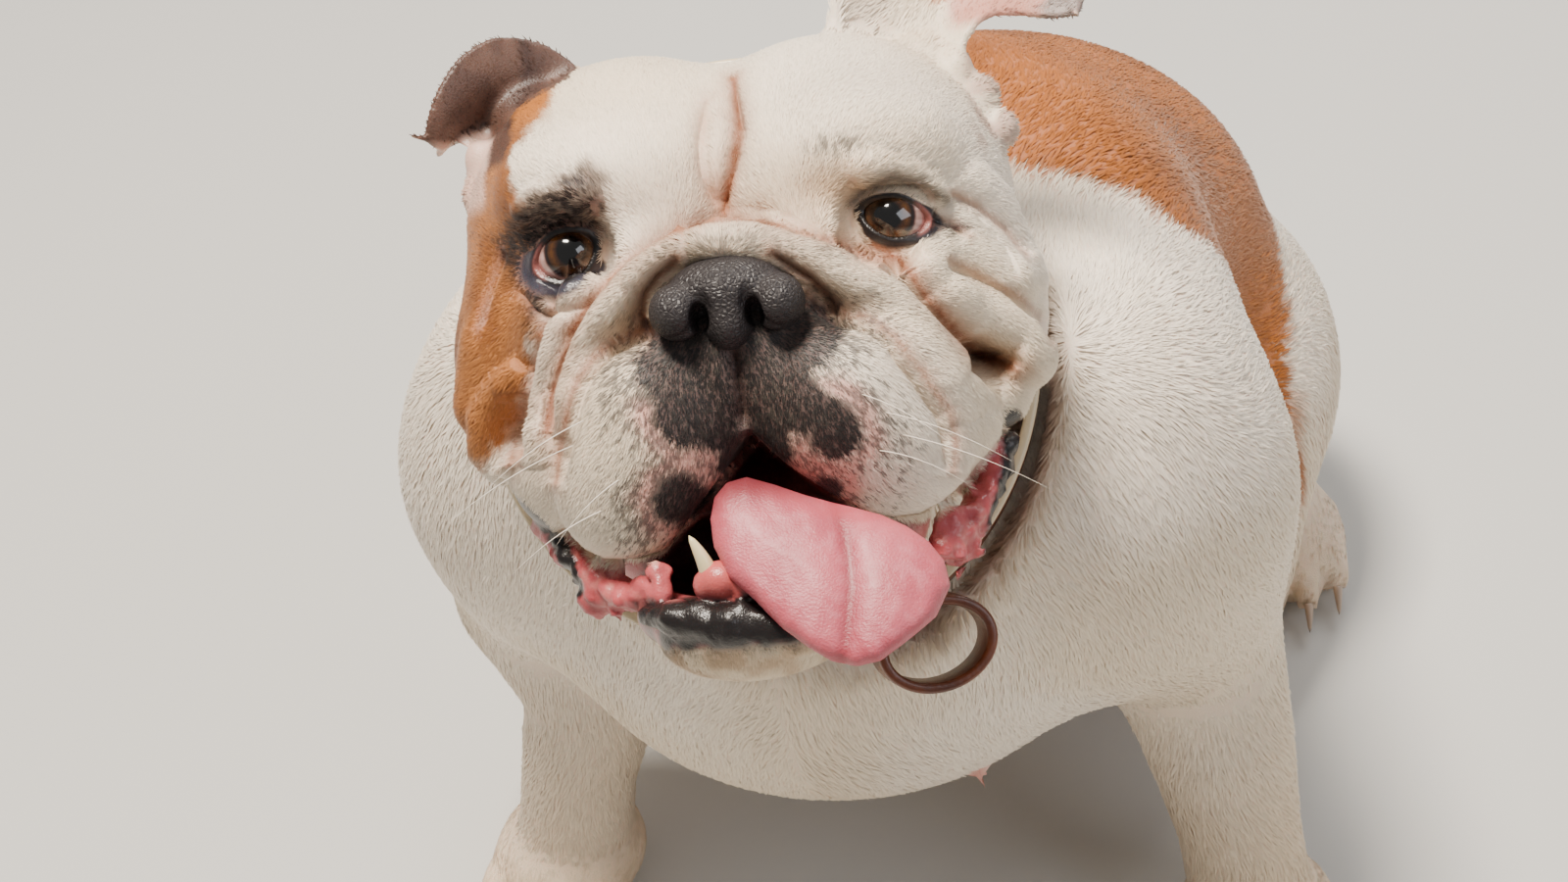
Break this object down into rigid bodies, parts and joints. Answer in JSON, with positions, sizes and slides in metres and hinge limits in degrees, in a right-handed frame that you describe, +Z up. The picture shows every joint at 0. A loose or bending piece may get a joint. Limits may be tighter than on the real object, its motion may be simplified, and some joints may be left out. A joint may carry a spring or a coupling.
{
  "type": "english bulldog model",
  "caption": "Life-size model of an English bulldog sitting with its head raised and its tongue out, white with a red-tan saddle, in a brown leather collar.",
  "frame": {"origin": "middle of the underside of the whole model's box, on the floor that its paws and rump stand on", "axes": "+Z up, -Y the way the dog's body faces, +X towards the dog's own left side; the head is turned a little to its left and raised"},
  "size_m": [0.375, 0.549, 0.441],
  "materials": {
    "coat_white": "short flat fur, warm white",
    "coat_red": "short flat fur, red-tan",
    "ear_taupe": "very short velvety fur, grey-brown",
    "lip_dark": "moist, dark pigmented skin",
    "tongue_pink": "wet, finely grained",
    "nose_black": "moist and pebbled",
    "ivory": "smooth enamel",
    "eye_brown": "clear wet cornea over a dark brown iris",
    "leather_brown": "smooth, waxed"
  },
  "bodies": {
    "root": {"torso": "coat_red", "neck": "coat_white", "tail": "coat_red", "fore_leg_left": "coat_white", "fore_leg_right": "coat_white", "hind_leg_left": "coat_white", "hind_leg_right": "coat_white", "fore_paw_left": "coat_white", "fore_paw_right": "coat_white", "hind_paw_left": "coat_white", "hind_paw_right": "coat_white", "collar": "leather_brown", "collar_loop": "leather_brown", "head": "coat_white", "lower_jaw": "lip_dark", "tongue": "tongue_pink", "canine_tooth": "ivory", "nose": "nose_black", "ear_left": "coat_white", "ear_right": "ear_taupe", "eye_left": "eye_brown", "eye_right": "eye_brown"}
  },
  "joints": []
}
